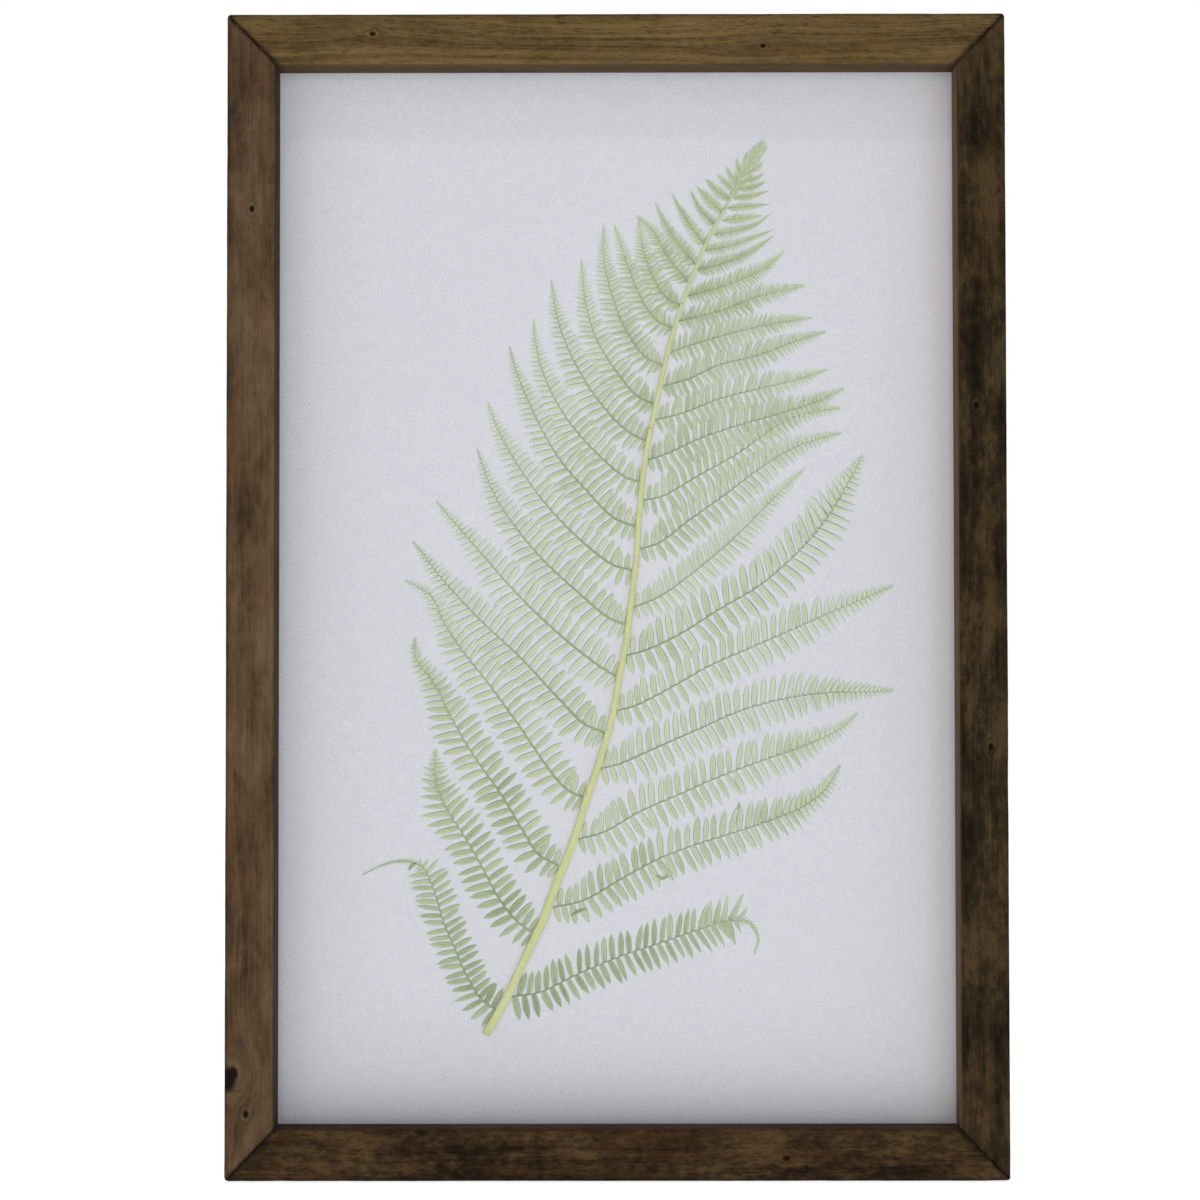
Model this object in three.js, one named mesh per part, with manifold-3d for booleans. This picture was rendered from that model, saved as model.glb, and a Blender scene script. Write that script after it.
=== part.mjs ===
// Pressed fern frond behind glass in a mitred, stained pine frame.
// Millimetres, +Z up, the glazed front faces -Y, the wall side faces +Y.
import * as THREE from "three";
import { mergeVertices } from "three/addons/utils/BufferGeometryUtils.js";
import Module from "manifold-3d";

const wasm = await Module();
wasm.setup();
const mergeTolerance = 1e-4;

// Frame: outer size and the rabbeted moulding all four rails share
const frameWidth = 307;
const frameHeight = 459;
const frameDepth = 32;
const faceWidth = 20;
const lipDepth = 16;
const rabbetWidth = 7;
const edgeRadius = 1.2;
const edgeSteps = 3;

// Gaps: between pieces that rest on each other, and at the two sides of a mitre
const restGap = 0.3;
const mitreGap = 0.42;
const sideGap = 0.5;

// Glazing and the sheet the frond lies on
const glassThickness = 2;
const frondSpace = 2.2;
const sheetThickness = 1.4;
const backingThickness = 3;

// Back fittings
const tabLength = 15;
const tabWidth = 9;
const tabThickness = 0.5;
const tabPointShare = 0.6;
const tabOffsetZ = 110;
const hangerLength = 60;
const hangerHeight = 9;
const hangerThickness = 0.9;
const hangerRise = 2;
const hangerFlat = 11;
const hangerRamp = 4;
const hangerTeeth = 7;
const toothPitch = 4;
const toothDepth = 2;
const notchCutLength = 20;
const notchOverrun = 1;
const nailHeadRadius = 2.2;
const nailHeadHeight = 0.9;
const nailHeadSides = 16;
const padSize = 10;
const padThickness = 2.5;
const padHeight = 32;

// Pinnae: flat toothed blades lying in two levels above the sheet
const bladeThickness = 0.35;
const toothPitchPerHalfWidth = 0.58;
const smallestToothPitch = 2;
const toothedShare = 0.84;
const leastTeeth = 2;
const plainTipSteps = 2;
const plainTipReach = 0.6;
const widenShare = 0.14;
const taperStart = 0.5;
const baseWidthShare = 0.6;
const taperPower = 1.3;
const tipWidthShare = 0.12;
const notchShare = 0.24;
const rootHalfWidth = 0.7;
const toothLean = 0.12;
const tipLean = 0.75;
const pieceGap = 0.3;
const clearanceSteps = 24;

// Rachis: an oval stalk, thick at the cut end and thin at the tip cluster
const stalkHalfWidths = [1.75, 1.7, 1.4, 1.2, 1.05, 0.8, 0.6];
const stalkThickness = 1.5;
const stalkFlatness = 0.55;
const stalkRings = 28;
const stalkTipRings = 6;
const stalkSides = 8;
const stalkEnd = 0.915;
const stalkEndClear = 0.916;

// Centre line of the rachis on the sheet, from the cut end to the tip: [x, z] from the frame centre
const stalkLine = [
  [-52, -174], [-44, -160], [-36, -143], [-29, -128], [-23, -112], [-17, -97], [-12, -81], [-6.5, -65],
  [-2, -49], [1, -33], [4, -17], [6, -1], [8, 15], [9, 31], [10.5, 47], [13, 63], [16.5, 79], [20, 95],
  [24.5, 111], [30.5, 127], [37, 143], [42, 152], [46, 159.5], [50, 167], [55, 175], [59.5, 181.5],
];

// Midribs of the left pinnae from the lowest up: half width, then points from the rachis outwards
const leftPinnae = [
  { half: 8.5, line: [[-47, -165], [-54, -160], [-59, -152], [-64, -141], [-69, -129], [-73, -116],
    [-77, -108], [-84, -105.5], [-93, -107], [-102, -111.5]] },
  { half: 10, line: [[-32, -135], [-40, -129], [-47, -120], [-54, -107], [-61, -95], [-68, -84], [-72, -73],
    [-72, -60]] },
  { half: 10, line: [[-22, -108], [-31, -103], [-37, -94], [-46, -79], [-56, -65], [-65, -50], [-72, -36],
    [-80, -24], [-80, -15]] },
  { half: 10, line: [[-12, -81], [-20, -77], [-27, -69], [-38, -53], [-51, -35], [-62, -21], [-69, -10],
    [-74, 0], [-86, 7]] },
  { half: 10, line: [[-4, -55], [-13, -51], [-24, -40], [-38, -25], [-54, -10], [-68, 5], [-82, 23]] },
  { half: 10, line: [[1, -33], [-7, -28], [-21, -17], [-38, -1], [-54, 17], [-66, 31], [-73, 39]] },
  { half: 9.5, line: [[5, -12], [-3, -9], [-15, 1], [-29, 14], [-40, 27], [-49, 41], [-56, 60]] },
  { half: 9.5, line: [[7, 10], [-1, 12], [-13, 21], [-26, 34], [-38, 50], [-47, 66], [-52, 79]] },
  { half: 9, line: [[9, 27], [-1, 31], [-12, 42], [-23, 55], [-33, 73], [-40, 90], [-43, 101]] },
  { half: 8.5, line: [[11, 45], [4, 47], [-7, 56], [-20, 71], [-28, 86], [-32, 100], [-33, 112]] },
  { half: 8.5, line: [[13, 61], [4, 66], [-8, 79], [-17, 94], [-23, 109], [-26, 127]] },
  { half: 7.5, line: [[16, 76], [8, 80], [-1, 91], [-8, 103], [-12, 116], [-14, 136]] },
  { half: 7, line: [[19, 92], [12, 95], [4, 106], [-1, 118], [-4.5, 132], [-5, 149]] },
  { half: 6.5, line: [[23, 107], [16, 110], [9, 121], [4, 134], [-1, 149]] },
  { half: 6, line: [[26, 116], [20, 119], [14, 129], [10.5, 140], [9, 151]] },
  { half: 5.5, line: [[29, 125], [24, 131], [19, 138], [14.5, 146], [7.5, 152.5]] },
  { half: 5, line: [[32, 132], [26, 139], [20, 148], [15.5, 157.5]] },
  { half: 4, line: [[35.5, 140], [31, 146], [26, 154], [22, 161.5]] },
  { half: 3, line: [[39.5, 148], [34, 154], [29.5, 162.5]] },
];

// Midribs of the right pinnae
const rightPinnae = [
  { half: 9.5, line: [[-42, -159], [-31, -157.5], [-15, -150], [2, -143], [17, -138], [33, -132.5],
    [46, -129], [53, -130.5], [56, -136], [54, -144]] },
  { half: 10, line: [[-26, -124], [-13, -121], [2, -112.5], [17, -104.5], [33, -98.5], [49, -93.5],
    [65, -88], [74, -84], [82, -78], [90, -66]] },
  { half: 10, line: [[-16, -97], [-5, -94], [9, -86], [25, -79], [41, -72], [57, -66], [73, -60.5],
    [88, -53.5], [97, -46]] },
  { half: 10, line: [[-7, -69], [1, -67], [17, -60], [33, -53], [49, -46], [65, -41.5], [81, -39],
    [97, -38.5], [112, -38]] },
  { half: 10, line: [[-1, -46], [7, -44], [21, -37], [37, -28], [53, -21], [69, -14], [85, -7], [99, -1],
    [112, 4.5]] },
  { half: 11, line: [[3, -24], [11, -22], [25, -15.5], [41, -5.5], [57, 4], [70, 15], [81, 27], [89, 39],
    [99, 57]] },
  { half: 8, line: [[6, -5], [17, -0.5], [33, 11], [49, 25], [63, 39], [76.5, 52]] },
  { half: 9, line: [[9, 18.5], [17, 21], [29, 30], [43, 40], [57, 50.5], [69, 58], [81, 62.5], [91, 65]] },
  { half: 9, line: [[10, 38], [18, 39.5], [33, 48], [49, 57], [63, 67], [73, 72], [91, 75]] },
  { half: 8.5, line: [[12, 54], [20, 56.5], [33, 62.5], [49, 68], [65, 72.5], [79, 77], [92, 83]] },
  { half: 8, line: [[15, 70], [27, 73], [41, 78.5], [57, 82.5], [73, 86.5], [85.5, 90.5]] },
  { half: 7.5, line: [[18, 83.5], [29, 86.5], [41, 92], [57, 96], [73, 102], [84.5, 105.5]] },
  { half: 7, line: [[21, 97], [33, 101], [49, 105.5], [65, 109], [79, 111]] },
  { half: 6, line: [[24.5, 109.5], [41, 113.5], [57, 119.5], [76.5, 124]] },
  { half: 5, line: [[28, 119.5], [41, 123], [54, 128], [61, 132], [67.5, 138]] },
  { half: 4, line: [[32, 130], [42, 132.5], [53, 137], [63.5, 144]] },
  { half: 3.2, line: [[35, 138], [46, 140], [56, 143.5], [63.5, 146.5]] },
  { half: 2.6, line: [[38.5, 144.5], [49, 146], [56, 148.5], [62, 153]] },
];

// Small side blades of the tip cluster, fused to the last stretch of the rachis
const tipBlades = [
  { half: 2.4, line: [[42.5, 150], [51, 151], [59, 152]] },
  { half: 2, line: [[44.5, 155], [53, 155.7], [61.5, 156.5]] },
  { half: 1.8, line: [[47, 159], [54.5, 160], [61.5, 162]] },
  { half: 1.8, line: [[49, 162.5], [55, 163.5], [60.5, 166]] },
  { half: 1.6, line: [[51, 166], [55.5, 166.7], [59.5, 169]] },
  { half: 1.4, line: [[53, 170], [57, 171.5], [59, 174]] },
  { half: 2.8, line: [[43, 153], [37.5, 158], [32, 164]] },
  { half: 2.4, line: [[46, 158], [41, 161.5], [35.5, 167]] },
  { half: 2, line: [[48, 161.5], [44, 165], [40, 169]] },
  { half: 1.7, line: [[49.5, 165], [46, 168], [44, 172]] },
  { half: 1.5, line: [[51.5, 168.5], [49, 171], [48.5, 175.5]] },
  { half: 1.4, line: [[53.5, 171.5], [52, 174], [52.5, 178]] },
];
const terminalBlade = { half: 2, line: stalkLine.slice(-4) };

// Depth positions, front to back, with the hanger's raised middle as the rearmost point
const overallDepth = frameDepth + restGap + hangerRise + hangerThickness;
const frontY = -overallDepth / 2;
const backY = frontY + frameDepth;
const glassFrontY = frontY + lipDepth + restGap;
const glassBackY = glassFrontY + glassThickness;
const sheetFrontY = glassBackY + frondSpace;
const backingFrontY = sheetFrontY + sheetThickness + restGap;
const backingBackY = backingFrontY + backingThickness;
const lowLevelY = sheetFrontY - restGap;
const highLevelY = lowLevelY - bladeThickness - pieceGap;
const sheetWidth = frameWidth - 2 * (faceWidth - rabbetWidth + sideGap);
const sheetHeight = frameHeight - 2 * (faceWidth - rabbetWidth + sideGap);

const topPine = { color: 0x5c482b, roughness: 0.62, metalness: 0 };
const leftPine = { color: 0x5c4a38, roughness: 0.62, metalness: 0 };
const rightPine = { color: 0x30271c, roughness: 0.62, metalness: 0 };
const bottomPine = { color: 0x443425, roughness: 0.62, metalness: 0 };
const clearGlass = { color: 0xf4f8f6, roughness: 0.03, metalness: 0, transparent: true, opacity: 0.15 };
const paleSheet = { color: 0xcbcbd3, roughness: 0.9, metalness: 0 };
const brownBoard = { color: 0x7a5a3c, roughness: 0.85, metalness: 0 };
const steel = { color: 0xb9bbbd, roughness: 0.35, metalness: 1 };
const felt = { color: 0x35322f, roughness: 0.95, metalness: 0 };
const leafGreen = { color: 0xa6b98f, roughness: 0.8, metalness: 0 };
const stalkGreen = { color: 0xc6c982, roughness: 0.7, metalness: 0 };

const model = new THREE.Group();
model.name = "pressed_fern_frame";

function addMesh(name, geometry, look) {
  geometry.computeVertexNormals();
  const mesh = new THREE.Mesh(geometry, new THREE.MeshStandardMaterial(look));
  mesh.name = name;
  model.add(mesh);
  return mesh;
}

function addBox(name, size, centre, look) {
  const box = new THREE.BoxGeometry(size[0], size[1], size[2]);
  box.translate(centre[0], centre[1], centre[2]);
  return addMesh(name, box, look);
}

// Closed solid from a geometry whose shared corners are merged
function toSolid(geometry) {
  geometry.deleteAttribute("normal");
  geometry.deleteAttribute("uv");
  const merged = mergeVertices(geometry, mergeTolerance);
  const vertProperties = Float32Array.from(merged.attributes.position.array);
  const triVerts = Uint32Array.from(merged.index.array);
  return new wasm.Manifold(new wasm.Mesh({ numProp: 3, vertProperties, triVerts }));
}

function toGeometry(solid) {
  const mesh = solid.getMesh();
  const geometry = new THREE.BufferGeometry();
  geometry.setAttribute("position", new THREE.BufferAttribute(Float32Array.from(mesh.vertProperties), 3));
  geometry.setIndex(new THREE.BufferAttribute(Uint32Array.from(mesh.triVerts), 1));
  return geometry;
}

function shapeOf(points) {
  return new THREE.Shape(points.map(([x, y]) => new THREE.Vector2(x, y)));
}

// Plate from an outline in X and Z, with its rear face at backFaceY
function plate(outline, backFaceY, thickness) {
  const geometry = new THREE.ExtrudeGeometry(shapeOf(outline), { depth: thickness, bevelEnabled: false });
  geometry.rotateX(Math.PI / 2);
  geometry.translate(0, backFaceY, 0);
  return geometry;
}

// Section of the moulding: [inward distance from the outer edge, depth]
function mouldingSection() {
  const section = [[0, backY]];
  for (let i = 0; i <= edgeSteps; i++) {
    const angle = (i / edgeSteps) * Math.PI / 2;
    section.push([edgeRadius * (1 - Math.cos(angle)), frontY + edgeRadius * (1 - Math.sin(angle))]);
  }
  for (let i = 0; i <= edgeSteps; i++) {
    const angle = (i / edgeSteps) * Math.PI / 2;
    const inward = faceWidth - edgeRadius * (1 - Math.sin(angle));
    section.push([inward, frontY + edgeRadius * (1 - Math.cos(angle))]);
  }
  section.push([faceWidth, frontY + lipDepth]);
  section.push([faceWidth - rabbetWidth, frontY + lipDepth]);
  section.push([faceWidth - rabbetWidth, backY]);
  return section;
}

// One rail along X with its outer edge down, then turned into its place.
// The section is extruded, and each end is drawn back to the mitre plane.
function rail(name, outerLength, outerDistance, turn, look) {
  const bar = new THREE.ExtrudeGeometry(shapeOf(mouldingSection()), { depth: 1, bevelEnabled: false });
  const place = bar.attributes.position;
  for (let i = 0; i < place.count; i++) {
    const inward = place.getX(i);
    const side = place.getZ(i) > 0.5 ? -1 : 1;
    place.setX(i, side * (outerLength / 2 - inward - mitreGap / 2));
    place.setZ(i, inward - outerDistance);
  }
  bar.rotateY(turn);
  return addMesh(name, bar, look);
}

function curveOf(line) {
  const points = line.map(([x, z]) => new THREE.Vector3(x, 0, z));
  return new THREE.CatmullRomCurve3(points, false, "centripetal");
}

// Point on a midrib plus an offset along it and to its left
function besideLine(curve, share, ahead, left) {
  const place = curve.getPointAt(share);
  const along = curve.getTangentAt(share);
  return [place.x + along.x * ahead - along.z * left, place.z + along.z * ahead + along.x * left];
}

function halfWidthAt(share, half) {
  const widening = Math.min(1, baseWidthShare + (1 - baseWidthShare) * share / widenShare);
  const past = Math.max(0, (share - taperStart) / (1 - taperStart));
  return half * widening * (1 - (1 - tipWidthShare) * past ** taperPower);
}

// One edge of a pinna: a tooth for each pinnule, from the rachis to the plain tip
function toothedEdge(curve, half, side) {
  const length = curve.getLength();
  const pitch = Math.max(smallestToothPitch, half * toothPitchPerHalfWidth);
  const teeth = Math.max(leastTeeth, Math.round(length * toothedShare / pitch));
  const edge = [besideLine(curve, 0, 0, side * rootHalfWidth)];
  for (let i = 0; i < teeth; i++) {
    const share = (i + 0.5) / teeth * toothedShare;
    const notch = (i + 1) / teeth * toothedShare;
    const reach = halfWidthAt(share, half);
    const lean = reach * (toothLean + (tipLean - toothLean) * share ** 2);
    edge.push(besideLine(curve, share, lean, side * reach));
    const notchReach = Math.max(rootHalfWidth, halfWidthAt(notch, half) * notchShare);
    edge.push(besideLine(curve, notch, 0, side * notchReach));
  }
  for (let i = 1; i <= plainTipSteps; i++) {
    const share = toothedShare + (1 - toothedShare) * i / (plainTipSteps + 1);
    edge.push(besideLine(curve, share, 0, side * halfWidthAt(share, half) * plainTipReach));
  }
  return edge;
}

function pinnaOutline({ half, line }) {
  const curve = curveOf(line);
  const tip = besideLine(curve, 1, 0, 0);
  return [...toothedEdge(curve, half, -1), tip, ...toothedEdge(curve, half, 1).reverse()];
}

// Plain outline a little wider than a pinna, for trimming its neighbour at the same level
function clearanceOutline({ half, line }) {
  const curve = curveOf(line);
  const left = [];
  const right = [];
  for (let i = 0; i <= clearanceSteps; i++) {
    const share = i / clearanceSteps;
    const reach = halfWidthAt(share, half) + pieceGap;
    const ahead = i === clearanceSteps ? pieceGap : 0;
    left.push(besideLine(curve, share, ahead, reach));
    right.push(besideLine(curve, share, ahead, -reach));
  }
  return [...right, ...left.reverse()];
}

function stalkHalfWidthAt(share) {
  const place = share * (stalkHalfWidths.length - 1);
  const index = Math.min(stalkHalfWidths.length - 2, Math.floor(place));
  return THREE.MathUtils.lerp(stalkHalfWidths[index], stalkHalfWidths[index + 1], place - index);
}

// Flat outline of a stretch of the rachis, widened by a margin
function stalkOutline(from, to, rings, margin) {
  const curve = curveOf(stalkLine);
  const left = [];
  const right = [];
  for (let i = 0; i <= rings; i++) {
    const share = THREE.MathUtils.lerp(from, to, i / rings);
    const reach = stalkHalfWidthAt(share) + margin;
    right.push(besideLine(curve, share, 0, -reach));
    left.push(besideLine(curve, share, 0, reach));
  }
  return [...right, ...left.reverse()];
}

function largestPart(solid) {
  const parts = solid.decompose();
  parts.sort((a, b) => b.volume() - a.volume());
  return parts[0];
}

// Straight unit bar of oval section, bent along the centre line and thinned towards the tip
function stalkGeometry() {
  const oval = [];
  for (let k = 0; k < stalkSides; k++) {
    const angle = (k / stalkSides) * 2 * Math.PI;
    oval.push([Math.cos(angle), Math.sin(angle)]);
  }
  const bar = new THREE.ExtrudeGeometry(shapeOf(oval), { depth: 1, steps: stalkRings, bevelEnabled: false });
  const curve = curveOf(stalkLine);
  const middleY = sheetFrontY - restGap - stalkThickness / 2;
  const place = bar.attributes.position;
  for (let i = 0; i < place.count; i++) {
    const share = stalkEnd * place.getZ(i);
    const halfWidth = stalkHalfWidthAt(share);
    const halfThickness = Math.min(stalkThickness / 2, halfWidth * stalkFlatness);
    const [x, z] = besideLine(curve, share, 0, -halfWidth * place.getX(i));
    place.setXYZ(i, x, middleY + halfThickness * place.getY(i), z);
  }
  return bar;
}

function lowSolid(outline) {
  return toSolid(plate(outline, lowLevelY, bladeThickness));
}

// The last small pinnae and the terminal blade with the end of the rachis, as one flat piece
function tipCluster() {
  let cluster = lowSolid(stalkOutline(stalkEnd, 1, stalkTipRings, 0));
  for (const blade of [...tipBlades, terminalBlade]) {
    cluster = cluster.add(lowSolid(pinnaOutline(blade)));
  }
  return largestPart(cluster.subtract(stalkCutter()));
}

// Deep solid around the rachis that keeps the pinnae clear of it
function stalkCutter() {
  const outline = stalkOutline(0, stalkEndClear, stalkRings, pieceGap);
  return toSolid(plate(outline, sheetFrontY, frondSpace));
}

// Deep solids that keep the pinnae of one level clear of the tip cluster
function tipCutters() {
  return [...tipBlades, terminalBlade].map((blade) => lowSolid(clearanceOutline(blade)));
}

// Lays the pinnae of one side from the tip down, alternating between the two levels.
// A blade is trimmed where it would touch the rachis or the blade before it at its own level.
function addPinnae(label, pinnae) {
  const levels = [
    { backFaceY: highLevelY, cutters: [] },
    { backFaceY: lowLevelY, cutters: tipCutters() },
  ];
  for (let i = pinnae.length - 1; i >= 0; i--) {
    const level = levels[(pinnae.length - 1 - i) % 2];
    let blade = toSolid(plate(pinnaOutline(pinnae[i]), level.backFaceY, bladeThickness));
    for (const cutter of [stalkCutter(), ...level.cutters]) {
      blade = blade.subtract(cutter);
    }
    addMesh(`pinna_${label}_${String(i + 1).padStart(2, "0")}`, toGeometry(largestPart(blade)), leafGreen);
    level.cutters = [toSolid(plate(clearanceOutline(pinnae[i]), level.backFaceY, bladeThickness))];
  }
}

function addFrond() {
  addMesh("rachis", stalkGeometry(), stalkGreen);
  addMesh("frond_tip", toGeometry(tipCluster()), leafGreen);
  addPinnae("left", leftPinnae);
  addPinnae("right", rightPinnae);
}

// Retainer tab lying on the backing, its pointed end towards the rail
function addTab(name, z, side) {
  const wallX = side * (frameWidth / 2 - faceWidth + rabbetWidth - restGap);
  const outline = [
    [0, 0], [-tabLength * tabPointShare, tabWidth / 2], [-tabLength, tabWidth / 2],
    [-tabLength, -tabWidth / 2], [-tabLength * tabPointShare, -tabWidth / 2],
  ];
  const geometry = plate(outline, backingBackY + restGap + tabThickness, tabThickness);
  geometry.rotateY(side > 0 ? 0 : Math.PI);
  geometry.translate(wallX, 0, z);
  return addMesh(name, geometry, steel);
}

// Steel strip with a raised middle, teeth cut in its lower edge and a nail head at each end
function hangerGeometry(lowerEdgeZ) {
  const half = hangerLength / 2;
  const bend = [
    [-half, 0], [-half + hangerFlat, 0], [-half + hangerFlat + hangerRamp, hangerRise],
    [half - hangerFlat - hangerRamp, hangerRise], [half - hangerFlat, 0], [half, 0],
  ];
  const farSide = bend.map(([x, y]) => [x, y + hangerThickness]).reverse();
  const stripShape = shapeOf([...bend, ...farSide]);
  let strip = toSolid(new THREE.ExtrudeGeometry(stripShape, { depth: hangerHeight, bevelEnabled: false }));
  for (let i = 0; i < hangerTeeth; i++) {
    const x = (i - (hangerTeeth - 1) / 2) * toothPitch;
    const notch = [[x - toothPitch / 2, -notchOverrun], [x + toothPitch / 2, -notchOverrun], [x, toothDepth]];
    strip = strip.subtract(toSolid(plate(notch, notchCutLength / 2, notchCutLength)));
  }
  for (const side of [-1, 1]) {
    const headLength = hangerThickness + nailHeadHeight;
    const head = new THREE.CylinderGeometry(nailHeadRadius, nailHeadRadius, headLength, nailHeadSides);
    head.translate(side * (half - hangerFlat / 2), headLength / 2, hangerHeight / 2);
    strip = strip.add(toSolid(head));
  }
  return toGeometry(strip.translate([0, backY + restGap, lowerEdgeZ]));
}

// Rails
rail("rail_bottom", frameWidth, frameHeight / 2, 0, bottomPine);
rail("rail_top", frameWidth, frameHeight / 2, Math.PI, topPine);
rail("stile_right", frameHeight, frameWidth / 2, -Math.PI / 2, rightPine);
rail("stile_left", frameHeight, frameWidth / 2, Math.PI / 2, leftPine);

// Glass, sheet and backing in the rabbet
const glazingCentreY = (glassFrontY + glassBackY) / 2;
const sheetCentreY = sheetFrontY + sheetThickness / 2;
const backingCentreY = (backingFrontY + backingBackY) / 2;
addBox("glass_pane", [sheetWidth, glassThickness, sheetHeight], [0, glazingCentreY, 0], clearGlass);
addBox("mount_sheet", [sheetWidth, sheetThickness, sheetHeight], [0, sheetCentreY, 0], paleSheet);
addBox("backing_board", [sheetWidth, backingThickness, sheetHeight], [0, backingCentreY, 0], brownBoard);

addFrond();

// Back fittings
let tabNumber = 1;
for (const z of [tabOffsetZ, -tabOffsetZ]) {
  for (const side of [-1, 1]) {
    addTab(`retainer_tab_${tabNumber}`, z, side);
    tabNumber += 1;
  }
}
const hangerZ = frameHeight / 2 - (faceWidth - rabbetWidth + hangerHeight) / 2;
addMesh("sawtooth_hanger", hangerGeometry(hangerZ), steel);
const padX = frameWidth / 2 - (faceWidth - rabbetWidth) / 2;
const padZ = -frameHeight / 2 + padHeight;
for (const side of [-1, 1]) {
  const label = side < 0 ? "left" : "right";
  const centre = [side * padX, backY + restGap + padThickness / 2, padZ];
  addBox(`wall_pad_${label}`, [padSize, padThickness, padSize], centre, felt);
}

for (const mesh of model.children) {
  mesh.geometry.deleteAttribute("normal");
  mesh.geometry.deleteAttribute("uv");
  mesh.geometry = mergeVertices(mesh.geometry, mergeTolerance);
  mesh.geometry.computeVertexNormals();
}

export default model;
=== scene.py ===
"""A pressed fern frond behind glass in a stained pine frame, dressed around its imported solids."""
import math
import random

import bpy
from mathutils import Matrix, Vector, noise


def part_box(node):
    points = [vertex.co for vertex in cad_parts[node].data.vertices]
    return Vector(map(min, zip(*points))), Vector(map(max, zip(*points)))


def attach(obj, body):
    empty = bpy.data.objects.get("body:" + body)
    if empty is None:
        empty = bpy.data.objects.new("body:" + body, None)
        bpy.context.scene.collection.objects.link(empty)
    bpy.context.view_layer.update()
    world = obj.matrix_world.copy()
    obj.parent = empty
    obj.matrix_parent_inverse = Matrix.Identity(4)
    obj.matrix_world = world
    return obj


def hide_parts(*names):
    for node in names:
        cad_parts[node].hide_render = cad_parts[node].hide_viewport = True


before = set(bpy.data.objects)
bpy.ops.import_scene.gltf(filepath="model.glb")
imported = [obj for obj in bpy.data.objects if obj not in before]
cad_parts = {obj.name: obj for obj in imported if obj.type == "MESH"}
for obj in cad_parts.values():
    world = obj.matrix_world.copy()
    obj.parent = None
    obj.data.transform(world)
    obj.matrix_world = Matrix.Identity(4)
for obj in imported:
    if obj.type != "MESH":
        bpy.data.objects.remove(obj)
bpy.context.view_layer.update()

MM = 0.001
BODY = "root"

# Places and sizes read from the frame, in metres
FRONT_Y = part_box("rail_bottom")[0].y
BACK_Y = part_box("rail_bottom")[1].y
HALF_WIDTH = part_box("stile_right")[1].x
HALF_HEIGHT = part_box("stile_right")[1].z
FACE_WIDTH = HALF_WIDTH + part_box("stile_left")[1].x
GLASS_FRONT_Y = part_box("glass_pane")[0].y
SHEET_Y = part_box("mount_sheet")[0].y
LIP_CLEARANCE = 0.3 * MM
LIP_DEPTH = GLASS_FRONT_Y - FRONT_Y - LIP_CLEARANCE
RABBET_WIDTH = 7 * MM

# Camera, matched to the frame's outline and its inner walls in the photograph
CAMERA_DISTANCE = 1.289
CAMERA_X = -0.0031
CAMERA_Z = -0.0465
AIM_X = -0.0065
AIM_Z = -0.0024
CAMERA_ROLL = math.radians(-0.06)
CAMERA_LENS = 98.65

# Centre line of the rachis on the sheet from the cut end to the tip, mm from the frame centre
STALK_LINE = [
    (-52, -174), (-44, -160), (-36, -143), (-29, -128), (-23, -112), (-17, -97), (-12, -81), (-6.5, -65),
    (-2, -49), (1, -33), (4, -17), (6, -1), (8, 15), (9, 31), (10.5, 47), (13, 63), (16.5, 79), (20, 95),
    (24.5, 111), (30.5, 127), (37, 143), (42, 152), (46, 159.5), (50, 167), (55, 175), (59.5, 181.5),
]
STALK_HALF_WIDTHS = [1.75, 1.7, 1.4, 1.2, 1.05, 0.72, 0.45]
STALK_THICKNESS = 1.5 * MM
STALK_END = 0.915

# Midribs of the pinnae from the lowest up: half width, then points from the rachis outwards, in mm
LEFT_PINNAE = [
    (8.5, [(-47, -165), (-54, -160), (-59, -152), (-64, -141), (-69, -129), (-73, -116),
           (-77, -108), (-84, -105.5), (-93, -107), (-102, -111.5)]),
    (10, [(-32, -135), (-40, -129), (-47, -120), (-54, -107), (-61, -95), (-68, -84), (-72, -73),
          (-72, -60)]),
    (10, [(-22, -108), (-31, -103), (-37, -94), (-46, -79), (-56, -65), (-65, -50), (-72, -36), (-80, -24),
          (-80, -15)]),
    (10, [(-12, -81), (-20, -77), (-27, -69), (-38, -53), (-51, -35), (-62, -21), (-69, -10), (-74, 0),
          (-86, 7)]),
    (10, [(-4, -55), (-13, -51), (-24, -40), (-38, -25), (-54, -10), (-68, 5), (-82, 23)]),
    (10, [(1, -33), (-7, -28), (-21, -17), (-38, -1), (-54, 17), (-66, 31), (-73, 39)]),
    (9.5, [(5, -12), (-3, -9), (-15, 1), (-29, 14), (-40, 27), (-49, 41), (-56, 60)]),
    (9.5, [(7, 10), (-1, 12), (-13, 21), (-26, 34), (-38, 50), (-47, 66), (-52, 79)]),
    (9, [(9, 27), (-1, 31), (-12, 42), (-23, 55), (-33, 73), (-40, 90), (-43, 101)]),
    (8.5, [(11, 45), (4, 47), (-7, 56), (-20, 71), (-28, 86), (-32, 100), (-33, 112)]),
    (8.5, [(13, 61), (4, 66), (-8, 79), (-17, 94), (-23, 109), (-26, 127)]),
    (7.5, [(16, 76), (8, 80), (-1, 91), (-8, 103), (-12, 116), (-14, 136)]),
    (7, [(19, 92), (12, 95), (4, 106), (-1, 118), (-4.5, 132), (-5, 149)]),
    (6.5, [(23, 107), (16, 110), (9, 121), (4, 134), (-1, 149)]),
    (6, [(26, 116), (20, 119), (14, 129), (10.5, 140), (9, 151)]),
    (5.5, [(29, 125), (24, 131), (19, 138), (14.5, 146), (7.5, 152.5)]),
    (4.4, [(32, 132), (26, 139), (20, 148), (15.5, 157.5)]),
    (3.6, [(35.5, 140), (31, 146), (26, 154), (22, 161.5)]),
    (2.6, [(39.5, 148), (34, 154), (29.5, 162.5)]),
]
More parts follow.
